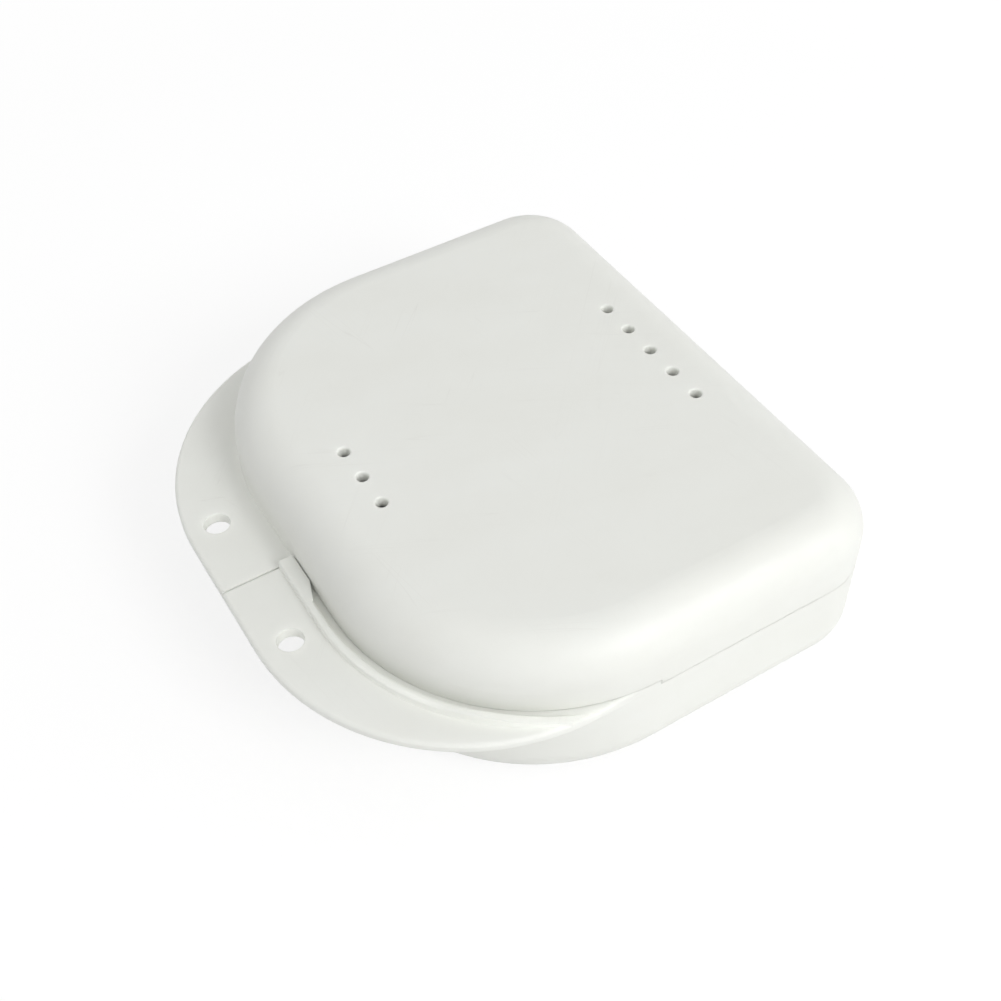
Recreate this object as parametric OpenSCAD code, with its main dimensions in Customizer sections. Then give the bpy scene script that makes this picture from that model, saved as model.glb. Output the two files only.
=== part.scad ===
// Denture and retainer case with a hinged lid, vent holes and a split front lip.
// Millimetres. The case lies flat on its floor, hinge at +Y, lip at -Y.

/* [Case] */
// Width of the case, side to side
body_w = 80; // [76:0.5:90]
// Depth of the case, front wall to back wall, without lip and hinge
body_d = 64; // [60:0.5:76]
// Height of the case, floor to crown
body_h = 25.4; // [24:0.2:34]
// Height of the line where base and lid part
part_z = 15.15; // [14:0.05:16]
// Radius of the two front corners, seen from above
front_r = 28.7; // [20:0.1:29]
// Radius of the two back corners, seen from above
back_r = 9.4; // [8:0.1:12]
// Radius that rounds the crown and the floor into the walls
edge_r = 6.2; // [4:0.1:7]
// Thickness of walls, floor and crown
wall = 1.6; // [1.2:0.1:2]
// Gap left along the parting line when the case is shut
rim_gap = 0.05; // [0.05:0.05:0.4]

/* [Lip] */
// How far the lip stands out in front of the front wall
lip_reach = 10.1; // [8.5:0.1:14]
// Radius of the lip's two outer corners
lip_r = 30.3; // [28:0.1:34]
// Thickness of the lip
lip_t = 1.6; // [1.4:0.1:2.4]
// How far the lip's straight sides lie inside the side walls
lip_side_inset = 0.1; // [0.1:0.05:0.5]
// Rounding of the lip's outer edges
lip_edge_r = 0.5; // [0.2:0.1:0.7]
// Gap between the two half lips
seam_gap = 0.25; // [0.15:0.05:0.6]
// Diameter of the hole in each half lip
lip_hole_d = 3.5; // [2.5:0.1:4.5]
// Distance of each lip hole from the middle of the case
lip_hole_x = 11.2; // [8:0.1:16]
// Distance of each lip hole from the lip's front edge
lip_hole_in = 4.2; // [3.2:0.1:5]

/* [Rim] */
// Clearance between each catch pad and the wall of the other shell
wall_gap = 0.15; // [0.1:0.05:0.5]
// Width of the groove between the rim rib and the wall it shields
groove_w = 1.15; // [0.8:0.05:1.3]
// Thickness of the rim rib
rib_t = 1.05; // [0.9:0.05:1.4]
// Height of the rim rib over the face of its lip
rib_h = 1.35; // [0.6:0.05:2]
// Rounding of the rib's two top edges
rib_edge_r = 0.4; // [0.1:0.05:0.45]
// Length of the slope in which the rib runs out at the side of the lip
rib_slope_l = 13; // [3:0.5:15]
// Length of the catch pad that fills the groove beside the seam
pad_len = 5; // [3:0.5:5.5]
// Length of the taper in which the pad runs out
pad_taper_l = 3; // [1:0.5:3]
// Clearance between the lid's inner skirt and the base wall
skirt_gap = 0.25; // [0.15:0.05:0.5]
// Thickness of the lid's inner skirt
skirt_t = 1; // [0.8:0.1:1.5]
// How far the inner skirt reaches below the parting line
skirt_h = 2; // [1:0.1:3]
// Height of the band that ties the skirt to the lid wall
skirt_root_h = 1.6; // [1:0.1:2.4]

/* [Vents] */
// Diameter of the vent holes in the crown
vent_d = 1.6; // [1.2:0.1:3]
// Rounding of the vents' upper rims
vent_edge_r = 0.25; // [0.1:0.05:0.5]
// Spacing of the vent holes
vent_pitch = 5.15; // [4:0.05:7]
// Number of vent holes in the back row
back_vents = 5; // [1:1:7]
// Number of vent holes in the front row
front_vents = 3; // [1:1:5]
// Distance of the back row from the back wall
back_vent_in = 9.1; // [8.5:0.1:14]
// Distance of the front row from the front wall
front_vent_in = 10.8; // [8.5:0.1:16]

/* [Hinge] */
// Distance of the middle of each hinge from the side of the case
hinge_in = 18; // [16:0.5:24]
// Radius of the hinge knuckles
knuckle_r = 2.2; // [1.9:0.1:2.6]
// Length of the lid's knuckle in each hinge
lid_knuckle_l = 8; // [6:0.5:10]
// Length of each of the base's two knuckles in a hinge
base_knuckle_l = 4; // [3:0.5:5]
// Clearance between the ends of neighbouring knuckles
knuckle_gap = 0.3; // [0.2:0.05:0.5]
// Clearance round a knuckle where the other shell is cut away for it
knuckle_relief = 0.35; // [0.3:0.05:0.5]
// Distance of the hinge axis behind the back wall
axis_out = 0.3; // [0.3:0.05:0.6]
// Radius of the hinge pins
pin_r = 0.8; // [0.6:0.05:1]
// Running clearance between a pin and the lid's bore
pin_clearance = 0.06; // [0.03:0.01:0.1]
// How far a pin's ends lie inside the outer knuckle faces
pin_inset = 0.4; // [0.2:0.1:1]
// Chamfer on the ends of the pins
pin_chamfer = 0.2; // [0.1:0.05:0.4]

/* [Hidden] */
$fn = 96;

// Plans as [half width, back y, front y, back corner radius, front corner radius]
body_plan = [body_w / 2, body_d / 2, -body_d / 2, back_r, front_r];
lip_front_y = -body_d / 2 - lip_reach;
lip_plan = [body_w / 2 - lip_side_inset, body_plan[1] - back_r, lip_front_y, edge_r, lip_r];

// Where the front curve of the body begins, which is as far back as the lip goes
front_end_y = body_plan[2] + front_r;

// The hinge axis runs along X at the height of the parting line
axis_y = body_d / 2 + axis_out;
hinge_x = body_w / 2 - hinge_in;
hinge_back_y = axis_y + knuckle_r;
hinge_l = lid_knuckle_l + 2 * base_knuckle_l + 2 * knuckle_gap;

// Moves the middle of the overall depth to the origin
shift_y = -(lip_front_y + hinge_back_y) / 2;

// Cuts reach this far past the faces that they open
over = 1;

module in_place() {
    translate([0, shift_y, 0]) children();
}

// Half section of a slab from its middle to its rim, with rounded rim edges.
// A negative r1 flares the top out, for a cut that rounds the edge round it.
module rim_section(len, z0, z1, r0, r1) {
    difference() {
        translate([0, z0]) square([len, z1 - z0]);
        if (r0 > 0) translate([len - r0, z0 + r0]) edge_cut(r0, -1);
        if (r1 > 0) translate([len - r1, z1 - r1]) edge_cut(r1, 1);
    }
    if (r1 < 0) translate([len, z1 + r1]) difference() {
        square(-r1);
        translate([-r1, 0]) circle(-r1);
    }
}

// The corner that rounding takes off, above (side 1) or below (side -1)
module edge_cut(r, side) {
    difference() {
        translate([0, side > 0 ? 0 : -r - over]) square([r + over, r + over]);
        circle(r);
    }
}

// A D-shaped slab: the plan drawn in by inset, from z0 to z1, with its rim
// rounded by r0 below and by r1 above
module d_slab(plan, inset, z0, z1, r0 = 0, r1 = 0) {
    half_w = plan[0] - inset;
    rb = plan[3] - inset;
    rf = plan[4] - inset;
    xb = plan[0] - plan[3];
    xf = plan[0] - plan[4];
    yb = plan[1] - plan[3];
    yf = plan[2] + plan[4];
    // middle
    translate([-xb, yf, z0]) cube([2 * xb, yb - yf, z1 - z0]);
    // back and front strips
    translate([-xb, yb, 0]) strip(2 * xb) rim_section(rb, z0, z1, r0, r1);
    mirror([0, 1, 0]) translate([-xf, -yf, 0]) strip(2 * xf) rim_section(rf, z0, z1, r0, r1);
    for (side = [0, 1]) mirror([side, 0, 0]) {
        // side strip and corners
        translate([xb, yb, 0]) rotate([0, 0, -90]) strip(yb - yf)
            rim_section(half_w - xb, z0, z1, r0, r1);
        translate([xb, yb, 0]) rotate_extrude(angle = 90) rim_section(rb, z0, z1, r0, r1);
        translate([xf, yf, 0]) rotate([0, 0, -90]) rotate_extrude(angle = 90)
            rim_section(rf, z0, z1, r0, r1);
    }
}

// Stretches a section along +X; the section's first axis points along +Y
module strip(len) {
    rotate([90, 0, 90]) linear_extrude(len) children();
}

// The rim parts of the base, drawn about the parting line at z = 0. The lid
// carries the same parts turned over about Y. Along the front each shell's
// wall rises on its own half to the face of its lip, and the other shell's
// wall stands on that face, so the parting line steps up and down at the seam.

// Space in front of end_y and to the right of x0
module front_right(x0, end_y) {
    reach = body_w + body_d;
    translate([x0, end_y - reach, -body_h]) cube([reach, reach, 2 * body_h]);
}

// Half of the front lip, with the stretch of wall that it stands out from
module half_lip() {
    difference() {
        intersection() {
            union() {
                d_slab(lip_plan, 0, -lip_t / 2, lip_t / 2, lip_edge_r, lip_edge_r);
                d_slab(body_plan, 0, -lip_t / 2, lip_t / 2);
            }
            front_right(seam_gap / 2, front_end_y);
        }
        d_slab(body_plan, wall, -lip_t, lip_t);
        translate([lip_hole_x, lip_front_y + lip_hole_in, -lip_t]) cylinder(d = lip_hole_d, h = 2 * lip_t);
    }
}

// Room in the other shell's wall for the stretch that rises to the lip's face
module wall_step() {
    intersection() {
        difference() {
            d_slab(body_plan, -over, -over, lip_t / 2 + rim_gap);
            d_slab(body_plan, wall + skirt_gap, -2 * over, lip_t);
        }
        front_right(-seam_gap / 2, front_end_y + rim_gap);
    }
}

// Rib that stands on the half lip and slopes down to it at the side
module rim_rib() {
    top = lip_t / 2 + rib_h;
    intersection() {
        difference() {
            d_slab(body_plan, -groove_w - rib_t, 0, top, 0, rib_edge_r);
            d_slab(body_plan, -groove_w, -over, top, 0, -rib_edge_r);
            translate([0, lip_front_y + lip_r, lip_t / 2]) strip(body_w)
                polygon([[-rib_slope_l, rib_h], [0, 0], [body_d, 0], [body_d, top], [-rib_slope_l, top]]);
        }
        d_slab(lip_plan, 0, -lip_t, lip_t + rib_h);
        front_right(seam_gap / 2, front_end_y);
    }
}

// Catch pad between the rib and the wall of the other shell, beside the seam
module catch_pad() {
    x0 = seam_gap / 2;
    y_wall = -body_d / 2 - wall_gap;
    y_rib = -body_d / 2 - groove_w;
    linear_extrude(lip_t / 2 + rib_h) polygon([
        [x0, y_wall], [x0, y_rib - rib_t / 2], [x0 + pad_len + pad_taper_l, y_rib - rib_t / 2],
        [x0 + pad_len + pad_taper_l, y_rib], [x0 + pad_len, y_wall]
    ]);
}

module rim_parts() {
    half_lip();
    rim_rib();
    catch_pad();
}

// Cylinder on the hinge axis from x = -len / 2 to len / 2 of each hinge
module on_axis(r, len, at = 0) {
    for (side = [-1, 1])
        translate([side * hinge_x + at - len / 2, axis_y, 0])
            rotate([0, 90, 0]) cylinder(r = r, h = len);
}

base_knuckle_at = (lid_knuckle_l + base_knuckle_l) / 2 + knuckle_gap;

module base_knuckles(r, len) {
    on_axis(r, len, base_knuckle_at);
    on_axis(r, len, -base_knuckle_at);
}

module base_shell() {
    color("whitesmoke") in_place() difference() {
        translate([0, 0, part_z]) union() {
            difference() {
                d_slab(body_plan, 0, -part_z, -rim_gap / 2, edge_r);
                d_slab(body_plan, wall, wall - part_z, over, edge_r - wall);
                rotate([0, 180, 0]) wall_step();
                on_axis(knuckle_r + knuckle_relief, lid_knuckle_l + 2 * knuckle_gap);
            }
            rim_parts();
            base_knuckles(knuckle_r, base_knuckle_l);
        }
        translate([0, 0, part_z]) on_axis(pin_r, hinge_l + 2 * over);
    }
}

module lid_shell() {
    crown_z = body_h - part_z;
    color("whitesmoke") in_place() translate([0, 0, part_z]) difference() {
        union() {
            difference() {
                union() {
                    difference() {
                        d_slab(body_plan, 0, rim_gap / 2, crown_z, 0, edge_r);
                        d_slab(body_plan, wall, -over, crown_z - wall, 0, edge_r - wall);
                    }
                    skirt();
                }
                wall_step();
                base_knuckles(knuckle_r + knuckle_relief, base_knuckle_l + 2 * knuckle_gap);
                vent_row(back_vents, body_d / 2 - back_vent_in, crown_z);
                vent_row(front_vents, front_vent_in - body_d / 2, crown_z);
            }
            rotate([0, 180, 0]) rim_parts();
            on_axis(knuckle_r, lid_knuckle_l);
        }
        on_axis(pin_r + pin_clearance, hinge_l);
    }
}

// Row of vent holes through the crown, each with a rounded upper rim
module vent_row(count, y, crown_z) {
    for (i = [0 : count - 1])
        translate([(i - (count - 1) / 2) * vent_pitch, y, crown_z])
            rotate_extrude($fn = 48)
                rim_section(vent_d / 2, -wall - over, 0, 0, -vent_edge_r);
}

// Inner skirt that drops inside the base wall along front and sides
module skirt() {
    outer = wall + skirt_gap;
    intersection() {
        difference() {
            union() {
                d_slab(body_plan, outer, -skirt_h, skirt_root_h);
                d_slab(body_plan, wall / 2, rim_gap / 2, skirt_root_h);
            }
            d_slab(body_plan, outer + skirt_t, -skirt_h - over, skirt_root_h + over);
        }
        translate([-body_w, -body_d, -body_h]) cube([2 * body_w, 1.5 * body_d - back_r, 2 * body_h]);
    }
}

// Pin of one hinge, side -1 left or 1 right, turned about its axis
module hinge_pin(side) {
    half_l = hinge_l / 2 - pin_inset;
    neck_r = pin_r - pin_chamfer;
    color("silver") in_place() translate([side * hinge_x, axis_y, part_z])
        rotate([0, 90, 0]) rotate_extrude($fn = 48) polygon([
            [0, -half_l], [neck_r, -half_l], [pin_r, pin_chamfer - half_l],
            [pin_r, half_l - pin_chamfer], [neck_r, half_l], [0, half_l]
        ]);
}

module hinge_pin_left() {
    hinge_pin(-1);
}

module hinge_pin_right() {
    hinge_pin(1);
}

base_shell();
lid_shell();
hinge_pin_left();
hinge_pin_right();
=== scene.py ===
# %% [markdown]
# A denture case, dressed for its portrait
#
# The case is two thin mouldings of off-white plastic that hinge at the back
# and shut along a split front lip. Two short steel pins carry the hinges. The
# construction model already has the true shapes, down to the rounded rims of
# the vents, so no piece is modelled again. This lesson sets the camera and the
# light, and then builds up the finish of moulded plastic layer by layer: edge,
# scratch, mould mark, colour, gloss and relief.

# %% Load the frame
import math
import bpy
from mathutils import Matrix, Vector


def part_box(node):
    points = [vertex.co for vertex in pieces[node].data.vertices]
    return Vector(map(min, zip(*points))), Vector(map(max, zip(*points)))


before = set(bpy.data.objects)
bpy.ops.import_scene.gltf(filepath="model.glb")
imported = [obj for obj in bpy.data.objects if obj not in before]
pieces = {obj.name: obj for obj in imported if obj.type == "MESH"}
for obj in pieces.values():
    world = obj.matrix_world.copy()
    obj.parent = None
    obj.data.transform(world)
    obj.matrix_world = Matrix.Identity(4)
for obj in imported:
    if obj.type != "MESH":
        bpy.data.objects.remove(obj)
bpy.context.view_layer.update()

MM = 0.001
print("pieces:", sorted(pieces))

# %% [markdown]
# ## The camera
#
# The photo was taken from the right and well above, so the near corner of the
# case points down to the right. A camera could be aimed at the middle of the
# case with a constraint, but the photo's camera wasn't, so this one is placed
# by numbers: where it stands, its azimuth (0 looks along +Y), its elevation,
# and a small roll, because the picture is tilted a little. The lens is given in
# millimetres for a sensor 36 mm wide, which fixes how strongly the far side
# shrinks.

# %% Place the camera
CAMERA_PLACE = Vector((112.1, -61.7, 150.2)) * MM
AZIMUTH = math.radians(60.24)
ELEVATION = math.radians(47.50)
ROLL = math.radians(-2.08)
LENS = 49.55
SENSOR = 36

camera_data = bpy.data.cameras.new("portrait_camera")
camera_data.lens = LENS
camera_data.sensor_width = SENSOR
camera_data.clip_start = MM
camera = bpy.data.objects.new("portrait_camera", camera_data)
bpy.context.scene.collection.objects.link(camera)
aim = Matrix.Rotation(AZIMUTH, 4, "Z") @ Matrix.Rotation(math.pi / 2 - ELEVATION, 4, "X")
rolled = aim @ Matrix.Rotation(ROLL, 4, "Z")
camera.matrix_world = Matrix.Translation(CAMERA_PLACE) @ rolled
bpy.context.scene.camera = camera
print("camera at", [round(c / MM, 1) for c in camera.location], "mm")

# %% [markdown]
# ## Paper
#
# The case lies on white paper. A material is a small network: nodes make
# values, and links carry them into the sockets of a shader. It could be wired
# by hand in the Shader Editor. Wired in code it is the same network, and every
# number in it can be read. Four helpers keep the cells short: one makes an
# empty material, one puts a value or a link into a socket, one adds a node
# with its sockets filled, and one does a sum on two values. The dull side of
# the paper, the one that bounces light at the case, is the first use.

# %% Wire the paper's bounce
PAPER_BOUNCE = (0.80, 0.80, 0.80, 1)


def new_material(name):
    material = bpy.data.materials.new(name)
    material.use_nodes = True
    material.node_tree.nodes.clear()
    return material


def feed(owner, socket, value):
    if isinstance(value, bpy.types.NodeSocket):
        owner.node_tree.links.new(value, socket)
    else:
        socket.default_value = value


def add_node(owner, kind, inputs=(), **properties):
    node = owner.node_tree.nodes.new(kind)
    for name, value in properties.items():
        setattr(node, name, value)
    for name, value in dict(inputs).items():
        feed(owner, node.inputs[name], value)
    return node


def calc(owner, operation, a, b=0.0):
    node = add_node(owner, "ShaderNodeMath", {0: a, 1: b}, operation=operation)
    return node.outputs["Value"]


paper = new_material("floor_paper")
bounce = add_node(paper, "ShaderNodeBsdfDiffuse", {"Color": PAPER_BOUNCE})
print("paper bounces", PAPER_BOUNCE[0], "of the light")

# %% [markdown]
# ## White without glare
#
# Behind the case everything is plain white. More light would make the paper
# white, but it would burn out the pale plastic as well. So the paper gets a
# second side, partly lit and partly glowing, that only rays which look at it
# can see: from the camera, off a glossy face or through a clear one. The Light
# Path node tells them apart. The lit part keeps the shadow of the case. Far
# from the case the lamps are weaker, so the glow grows there and hides the
# line where the paper ends.

# %% Lay the floor
FLOOR_SIZE = 4.0
PAPER_SEEN = (0.30, 0.30, 0.30, 1)
PAPER_GLOW = 0.74
GLOW_FAR = 0.86
GLOW_REACH = (0.15, 0.80)


def looked_at(owner):
    ray = add_node(owner, "ShaderNodeLightPath").outputs
    mirrored = calc(owner, "MAXIMUM", ray["Is Glossy Ray"], ray["Is Transmission Ray"])
    return calc(owner, "MAXIMUM", ray["Is Camera Ray"], mirrored)


lit = add_node(paper, "ShaderNodeBsdfDiffuse", {"Color": PAPER_SEEN})
on_paper = add_node(paper, "ShaderNodeTexCoord").outputs["Object"]
away = add_node(paper, "ShaderNodeVectorMath", {0: on_paper}, operation="LENGTH").outputs["Value"]
fade = add_node(paper, "ShaderNodeMapRange", {
    "Value": away, "From Min": GLOW_REACH[0], "From Max": GLOW_REACH[1],
    "To Min": PAPER_GLOW, "To Max": GLOW_FAR})
glow = add_node(paper, "ShaderNodeEmission", {"Strength": fade.outputs["Result"]})
white_side = add_node(paper, "ShaderNodeAddShader", {0: lit.outputs[0], 1: glow.outputs[0]})
both_sides = add_node(paper, "ShaderNodeMixShader", {
    0: looked_at(paper), 1: bounce.outputs[0], 2: white_side.outputs[0]})
add_node(paper, "ShaderNodeOutputMaterial", {"Surface": both_sides.outputs[0]})

bpy.ops.object.select_all(action="DESELECT")
bpy.ops.mesh.primitive_plane_add(size=FLOOR_SIZE, location=(0, 0, 0))
floor = bpy.context.object
floor.name = "floor"
floor.data.materials.append(paper)
print("floor", FLOOR_SIZE, "m wide")

# %% [markdown]
# ## The room
#
# A white room lights the case from all sides and softens every shadow. It
# could be a box of real walls. The world does the same without them, and is
# split as the paper is: white where it is looked at, and dimmer as a lamp.

# %% Light the world
ROOM_LIGHT = 0.65
ROOM_SEEN = 1.0
WHITE = (1, 1, 1, 1)

world = bpy.data.worlds.new("studio")
bpy.context.scene.world = world
world.use_nodes = True
world.node_tree.nodes.clear()
room = add_node(world, "ShaderNodeBackground", {"Color": WHITE, "Strength": ROOM_LIGHT})
backdrop = add_node(world, "ShaderNodeBackground", {"Color": WHITE, "Strength": ROOM_SEEN})
world_mix = add_node(world, "ShaderNodeMixShader", {
    0: looked_at(world), 1: room.outputs[0], 2: backdrop.outputs[0]})
add_node(world, "ShaderNodeOutputWorld", {"Surface": world_mix.outputs[0]})
print("room light", ROOM_LIGHT)

# %% [markdown]
# ## Soft boxes
#
# In the photo one soft key stands to the right. It draws the broad highlight
# on the near rounding and lays the shadow of the dome on the left half of the
# lip. A sun or a point lamp would draw hard edges, so the lamps are squares
# that glow all over. Each hangs a metre away and is placed by its bearing,
# counted from +X towards +Y, and its height in degrees. A weaker one, low down
# on the same side, keeps the right wall as bright as the crown.

# %% Hang the lamps
LAMP_AWAY = 1.0
LAMP_SIZE = 0.40


def soft_box(name, bearing, height, watts):
    data = bpy.data.lights.new(name, "AREA")
    data.shape = "SQUARE"
    data.size = LAMP_SIZE
    data.energy = watts
    lamp = bpy.data.objects.new(name, data)
    bpy.context.scene.collection.objects.link(lamp)
    turn, lift = math.radians(bearing), math.radians(height)
    level = Vector((math.cos(turn), math.sin(turn), 0)) * math.cos(lift)
    out = level + Vector((0, 0, math.sin(lift)))
    lamp.location = out * LAMP_AWAY
    lamp.rotation_euler = (-out).to_track_quat("-Z", "Y").to_euler()
    print(name, "lamp,", watts, "W")
    return lamp


soft_box("key", bearing=15, height=35, watts=4.0)
soft_box("low_right", bearing=45, height=18, watts=0.8)

# %% [markdown]
# ## Patterns in real sizes
#
# A finish could be painted on an image, but an image needs unwrapped faces and
# shows its grid close up. Noise that is worked out at each point needs
# neither. It reads Object coordinates, which are metres from the frame's
# origin, so a size in a pattern is a real size, and the pattern stays on its
# piece when the lid turns. One Mapping node turns the pattern, and a second
# squeezes it, which draws blots out into streaks. Map Range turns the middle
# greys of a noise into a clear range. The wide waves that a shrinking moulding
# leaves on its flat faces are the first pattern.

# %% Waves of the faces
WAVE_WIDTH = 17 * MM
WAVE_HEIGHT = 0.10 * MM


def object_place(material, shift=(0, 0, 0)):
    place = add_node(material, "ShaderNodeTexCoord").outputs["Object"]
    return add_node(material, "ShaderNodeMapping", {"Vector": place, "Location": shift}).outputs[0]


def streaked(material, place, angle, squeeze):
    turn = (0, 0, math.radians(angle))
    turned = add_node(material, "ShaderNodeMapping", {"Vector": place, "Rotation": turn})
    squeezed = add_node(material, "ShaderNodeMapping", {
        "Vector": turned.outputs[0], "Scale": squeeze})
    return squeezed.outputs[0]


def blots(material, place, width, detail=1.0):
    node = add_node(material, "ShaderNodeTexNoise", {
        "Vector": place, "Scale": 1 / width, "Detail": detail})
    return node.outputs["Fac"]


def remap(material, value, start, end, low=0.0, high=1.0):
    node = add_node(material, "ShaderNodeMapRange", {
        "Value": value, "From Min": start, "From Max": end, "To Min": low, "To Max": high})
    return node.outputs["Result"]


def waves(material, place):
    return calc(material, "MULTIPLY", blots(material, place, WAVE_WIDTH), WAVE_HEIGHT)


print("waves", WAVE_WIDTH / MM, "mm wide and up to", WAVE_HEIGHT / MM, "mm high")

# %% [markdown]
# ## Edges
#
# Moulded edges are never knife sharp, and fingers and pockets polish them
# further. A bevel cut into the mesh would change the construction shape, so
# the Bevel node bends only the shading over each edge, as a tiny rounding
# would. Where the bent normal parts from the plain one there is an edge, and
# that difference makes a mask. Blots break the mask up, because hands don't
# rub every edge alike.

# %% Rounded edges and their wear
EDGE_ROUND = 0.15 * MM
EDGE_RAYS = 4
EDGE_BEND = (0.01, 0.12)
RUB_WIDTH = 5 * MM
RUB_RANGE = (0.4, 0.6, 0.2, 0.8)


def rounded_edges(material):
    bevel = add_node(material, "ShaderNodeBevel", {"Radius": EDGE_ROUND}, samples=EDGE_RAYS)
    return bevel.outputs["Normal"]


def rubbed_edges(material, place, rounded):
    plain = add_node(material, "ShaderNodeNewGeometry").outputs["Normal"]
    likeness = add_node(material, "ShaderNodeVectorMath", {
        0: rounded, 1: plain}, operation="DOT_PRODUCT")
    edge = remap(material, calc(material, "SUBTRACT", 1.0, likeness.outputs["Value"]), *EDGE_BEND)
    rub = remap(material, blots(material, place, RUB_WIDTH), *RUB_RANGE)
    return calc(material, "MULTIPLY", edge, rub)


print("edges rounded by", EDGE_ROUND / MM, "mm")

# %% [markdown]
# ## Hairlines
#
# A case that travels in pockets gathers fine scratches. Drawing each one as a
# curve would take thousands. Noise that is drawn out fifty to one has contour
# lines that are hair thin and nearly straight, so a narrow band round one of
# its values gives a whole set. Three sets run at different angles, and each
# shows in a few blots of its own, so that they seldom cross. Only the flat
# faces, whose normal points up or down, are rubbed on tables and get them.

# %% Scratches
SCRATCH_SPACING = 1.3 * MM
SCRATCH_SQUEEZE = (1, 0.02, 0.02)
SCRATCH_DETAIL = 0.0
SCRATCH_LEVEL = 0.5
SCRATCH_BAND = 0.008
SCRATCH_TURNS = (28, -47, 81)
PATCH_WIDTH = 9 * MM
PATCH_SQUEEZE = (1, 0.5, 0.5)
PATCH_RANGE = (0.50, 0.66)
FLAT_RANGE = (0.90, 0.99)


def scratch_set(material, place, angle):
    long_place = streaked(material, place, angle, SCRATCH_SQUEEZE)
    noise = blots(material, long_place, SCRATCH_SPACING, SCRATCH_DETAIL)
    off_level = calc(material, "ABSOLUTE", calc(material, "SUBTRACT", noise, SCRATCH_LEVEL))
    lines = remap(material, off_level, SCRATCH_BAND, 0.0)
    patch_noise = blots(material, streaked(material, place, angle, PATCH_SQUEEZE), PATCH_WIDTH)
    patches = remap(material, patch_noise, *PATCH_RANGE)
    return calc(material, "MULTIPLY", lines, patches)


def scratches(material, place):
    total = 0.0
    for angle in SCRATCH_TURNS:
        total = calc(material, "MAXIMUM", total, scratch_set(material, place, angle))
    normal = add_node(material, "ShaderNodeTexCoord").outputs["Normal"]
    up = add_node(material, "ShaderNodeSeparateXYZ", {"Vector": normal}).outputs["Z"]
    flat = remap(material, calc(material, "ABSOLUTE", up), *FLAT_RANGE)
    return calc(material, "MULTIPLY", total, flat)


print("scratches about", SCRATCH_SPACING / MM, "mm apart, at", SCRATCH_TURNS, "degrees")

# %% [markdown]
# ## Marks of the mould
#
# Ejector pins push a thin tray out of its mould and leave round marks, four on
# the inner face. One small mark stays where the plastic was fed in. They are
# less than a tenth of a millimetre deep, too little for a cut in the solid, so
# they are relief in the finish. Each is a disc, found by its distance from a
# point in plan. Folding x with Absolute draws the left and right marks at
# once, and a band of height keeps them on one face.

# %% Discs on one face
DISC_EDGE = 0.2 * MM
FACE_BAND = (0.2 * MM, 0.1 * MM)
EJECTOR_X = 24 * MM
EJECTOR_YS = (-13.2 * MM, 20.8 * MM)
EJECTOR_RADIUS = 3 * MM
GATE_X = 0.0
GATE_Y = 3.8 * MM
GATE_RADIUS = 0.9 * MM


def disc(material, place, level, x, y, radius):
    split = add_node(material, "ShaderNodeSeparateXYZ", {"Vector": place})
    across = calc(material, "SUBTRACT", calc(material, "ABSOLUTE", split.outputs["X"]), x)
    along = calc(material, "SUBTRACT", split.outputs["Y"], y)
    flat = add_node(material, "ShaderNodeCombineXYZ", {"X": across, "Y": along})
    distance = add_node(material, "ShaderNodeVectorMath", {0: flat.outputs[0]}, operation="LENGTH")
    inside = remap(material, distance.outputs["Value"], radius + DISC_EDGE, radius - DISC_EDGE)
    height = calc(material, "ABSOLUTE", calc(material, "SUBTRACT", split.outputs["Z"], level))
    on_face = remap(material, height, *FACE_BAND)
    return calc(material, "MULTIPLY", inside, on_face)


def mould_marks(material, place, inner_level, gate_level):
    marks = disc(material, place, gate_level, GATE_X, GATE_Y, GATE_RADIUS)
    for y in EJECTOR_YS:
        pair = disc(material, place, inner_level, EJECTOR_X, y, EJECTOR_RADIUS)
        marks = calc(material, "ADD", marks, pair)
    return marks


print("ejector marks", 2 * EJECTOR_RADIUS / MM, "mm across, gate mark", 2 * GATE_RADIUS / MM, "mm")

# %% [markdown]
# ## Colour of the plastic
#
# The plastic is a milky white that leans a little to green and yellow. One
# flat colour would look like paint. Pigment in a real moulding is drawn out by
# the flow, so the colour drifts by up to three percent in broad, faint streaks.
# The rubbed edges are a little paler, and the scratches hold a trace of grey. A
# Mix node mixes numbers, vectors or colours, and its colour sockets share their
# names with the others, so they are named here by their places.

# %% Tint
MILK = (0.845, 0.855, 0.815, 1)
CREAM = (0.825, 0.832, 0.787, 1)
RUBBED = (0.87, 0.875, 0.85, 1)
SCUFFED = (0.72, 0.715, 0.68, 1)
SCUFF_SHARE = 0.3
FLOW_WIDTH = 9 * MM
FLOW_TURN = 12
FLOW_SQUEEZE = (1, 0.4, 1)
FLOW_RANGE = (0.3, 0.75)
FLOW_DETAIL = 3.0
MIX_A = 6
MIX_B = 7
MIX_RESULT = 2


def mix_colour(material, factor, a, b):
    sockets = {"Factor": factor, MIX_A: a, MIX_B: b}
    return add_node(material, "ShaderNodeMix", sockets, data_type="RGBA").outputs[MIX_RESULT]


def plastic_tint(material, place, rubbed, scratched):
    flow_place = streaked(material, place, FLOW_TURN, FLOW_SQUEEZE)
    flow = blots(material, flow_place, FLOW_WIDTH, FLOW_DETAIL)
    tint = mix_colour(material, remap(material, flow, *FLOW_RANGE), MILK, CREAM)
    tint = mix_colour(material, rubbed, tint, RUBBED)
    return mix_colour(material, calc(material, "MULTIPLY", scratched, SCUFF_SHARE), tint, SCUFFED)


print("milky white", MILK[:3], "with cream", CREAM[:3])

# %% [markdown]
# ## Gloss of the plastic
#
# The faces are satin rather than shiny: the highlight on the near rounding is
# broad and fades out softly. Gloss is set by roughness. It wanders over the
# face in blots of a few millimetres, as the polish of the mould does, and
# scratches are duller than the skin round them.

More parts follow.
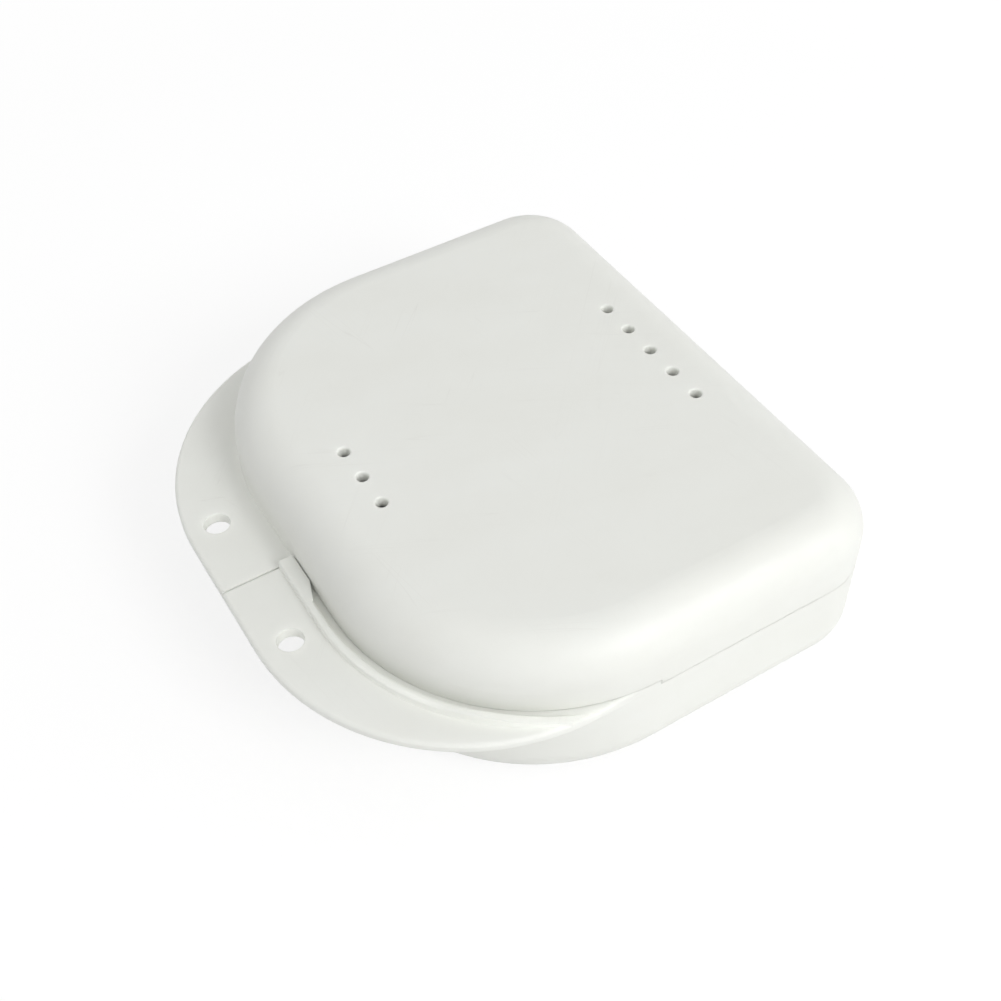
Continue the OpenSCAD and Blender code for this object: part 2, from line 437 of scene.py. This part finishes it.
# %% Roughness
GLOSS_WIDTH = 6 * MM
GLOSS_RANGE = (0.2, 0.8, 0.36, 0.50)
GLOSS_DETAIL = 3.0
SCRATCH_DULL = 0.20


def plastic_roughness(material, place, scratched):
    skin = remap(material, blots(material, place, GLOSS_WIDTH, GLOSS_DETAIL), *GLOSS_RANGE)
    return calc(material, "ADD", skin, calc(material, "MULTIPLY", scratched, SCRATCH_DULL))


print("roughness from", GLOSS_RANGE[2], "to", GLOSS_RANGE[3])

# %% [markdown]
# ## Relief of the plastic
#
# Every pattern that has height is added up in metres and goes through a single
# Bump node, which lies on top of the rounded edges. Displacing the mesh would
# show the same at a hundred times the faces, and heights of a tenth of a
# millimetre or less only ever show in how the light breaks.

# %% Heights
GRAIN_WIDTH = 0.35 * MM
GRAIN_HEIGHT = 0.006 * MM
GRAIN_DETAIL = 2.0
SCRATCH_DEPTH = 0.004 * MM
MARK_DEPTH = 0.08 * MM
BUMP_METRE = 1.0


def plastic_relief(material, place, rounded, scratched, marks):
    fine = blots(material, place, GRAIN_WIDTH, GRAIN_DETAIL)
    grain = calc(material, "MULTIPLY", fine, GRAIN_HEIGHT)
    cuts = calc(material, "MULTIPLY", scratched, -SCRATCH_DEPTH)
    sunk = calc(material, "MULTIPLY", marks, -MARK_DEPTH)
    raised = calc(material, "ADD", waves(material, place), grain)
    height = calc(material, "ADD", raised, calc(material, "ADD", cuts, sunk))
    bump = add_node(material, "ShaderNodeBump", {
        "Height": height, "Distance": BUMP_METRE, "Normal": rounded})
    return bump.outputs["Normal"]


print("grain", GRAIN_WIDTH / MM, "mm wide, scratches", SCRATCH_DEPTH / MM, "mm deep")

# %% [markdown]
# ## Two plastic shells
#
# Thin milky plastic lets a little light in, which comes out again beside where
# it went in and softens the shading of rims and grooves. Subsurface scattering
# does this. Each shell gets its own mix of the layers, shifted so that no
# streak or scratch runs on from one shell to the other. The base was fed from
# below and the lid from inside, so their gate marks lie on faces that don't
# show when the case is shut.

# %% Put the layers together
PLASTIC_IOR = 1.49
SCATTER_SHARE = 0.6
SCATTER_DEPTH = 1.5 * MM
EVEN_SCATTER = (1, 1, 1)
WALL = 1.6 * MM
BASE_SHIFT = (0.36, 0.17, 0.05)
LID_SHIFT = (0.02, 0.44, 0.27)


def moulded_plastic(name, shift, inner_level, gate_level):
    material = new_material(name)
    place = object_place(material, shift)
    rounded = rounded_edges(material)
    rubbed = rubbed_edges(material, place, rounded)
    scratched = scratches(material, place)
    marks = mould_marks(material, object_place(material), inner_level, gate_level)
    shader = add_node(material, "ShaderNodeBsdfPrincipled", {
        "Base Color": plastic_tint(material, place, rubbed, scratched),
        "Roughness": plastic_roughness(material, place, scratched),
        "Normal": plastic_relief(material, place, rounded, scratched, marks),
        "IOR": PLASTIC_IOR,
        "Subsurface Weight": SCATTER_SHARE,
        "Subsurface Radius": EVEN_SCATTER,
        "Subsurface Scale": SCATTER_DEPTH,
    }, subsurface_method="BURLEY")
    add_node(material, "ShaderNodeOutputMaterial", {"Surface": shader.outputs[0]})
    print(name, "has", len(material.node_tree.nodes), "nodes")
    return material


under_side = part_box("base_shell")[0][2]
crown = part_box("lid_shell")[1][2]
base_plastic = moulded_plastic("base_plastic", BASE_SHIFT, under_side + WALL, under_side)
lid_plastic = moulded_plastic("lid_plastic", LID_SHIFT, crown - WALL, crown - WALL)

# %% [markdown]
# ## The pins
#
# Each hinge turns on a short pin cut from drawn steel wire. Anisotropic gloss
# would give the stretched highlight of drawn metal from afar. Here the lines
# themselves are made, as noise squeezed along X, the way the pins lie, so that
# they still show close up. Handling leaves darker blots.

# %% Build the steel
STEEL = (0.62, 0.62, 0.63, 1)
STEEL_HANDLED = (0.50, 0.49, 0.48, 1)
HANDLED_WIDTH = 1.2 * MM
HANDLED_RANGE = (0.4, 0.7)
DRAWN_WIDTH = 0.06 * MM
DRAWN_TURN = 0
DRAWN_SQUEEZE = (0.02, 1, 1)
DRAWN_DETAIL = 2.0
DRAWN_GLOSS = (0.3, 0.7, 0.22, 0.40)
DRAWN_DEPTH = 0.002 * MM

steel = new_material("pin_steel_drawn")
wire_place = object_place(steel)
line_place = streaked(steel, wire_place, DRAWN_TURN, DRAWN_SQUEEZE)
lines = blots(steel, line_place, DRAWN_WIDTH, DRAWN_DETAIL)
handled = remap(steel, blots(steel, wire_place, HANDLED_WIDTH), *HANDLED_RANGE)
line_relief = add_node(steel, "ShaderNodeBump", {
    "Height": calc(steel, "MULTIPLY", lines, DRAWN_DEPTH), "Distance": BUMP_METRE})
steel_shader = add_node(steel, "ShaderNodeBsdfPrincipled", {
    "Base Color": mix_colour(steel, handled, STEEL, STEEL_HANDLED),
    "Metallic": 1.0,
    "Roughness": remap(steel, lines, *DRAWN_GLOSS),
    "Normal": line_relief.outputs["Normal"],
})
add_node(steel, "ShaderNodeOutputMaterial", {"Surface": steel_shader.outputs[0]})
print("steel has", len(steel.node_tree.nodes), "nodes")

# %% [markdown]
# ## Dress the case
#
# The pieces come from the construction model with plain stand-in materials. A
# new object could take the place of each, but their shapes are right, so they
# stay, and only their material slots are filled anew.

# %% Give each piece its finish
finishes = {
    "base_shell": base_plastic,
    "lid_shell": lid_plastic,
    "hinge_pin_left": steel,
    "hinge_pin_right": steel,
}
for name, finish in finishes.items():
    for slot in pieces[name].material_slots:
        slot.material = finish
    print(name, "wears", finish.name, "on", len(pieces[name].data.polygons), "faces")

# %% [markdown]
# ## Finish
#
# The Standard view shows colours as they are written.

# %% Set the view
bpy.context.scene.view_settings.view_transform = "Standard"
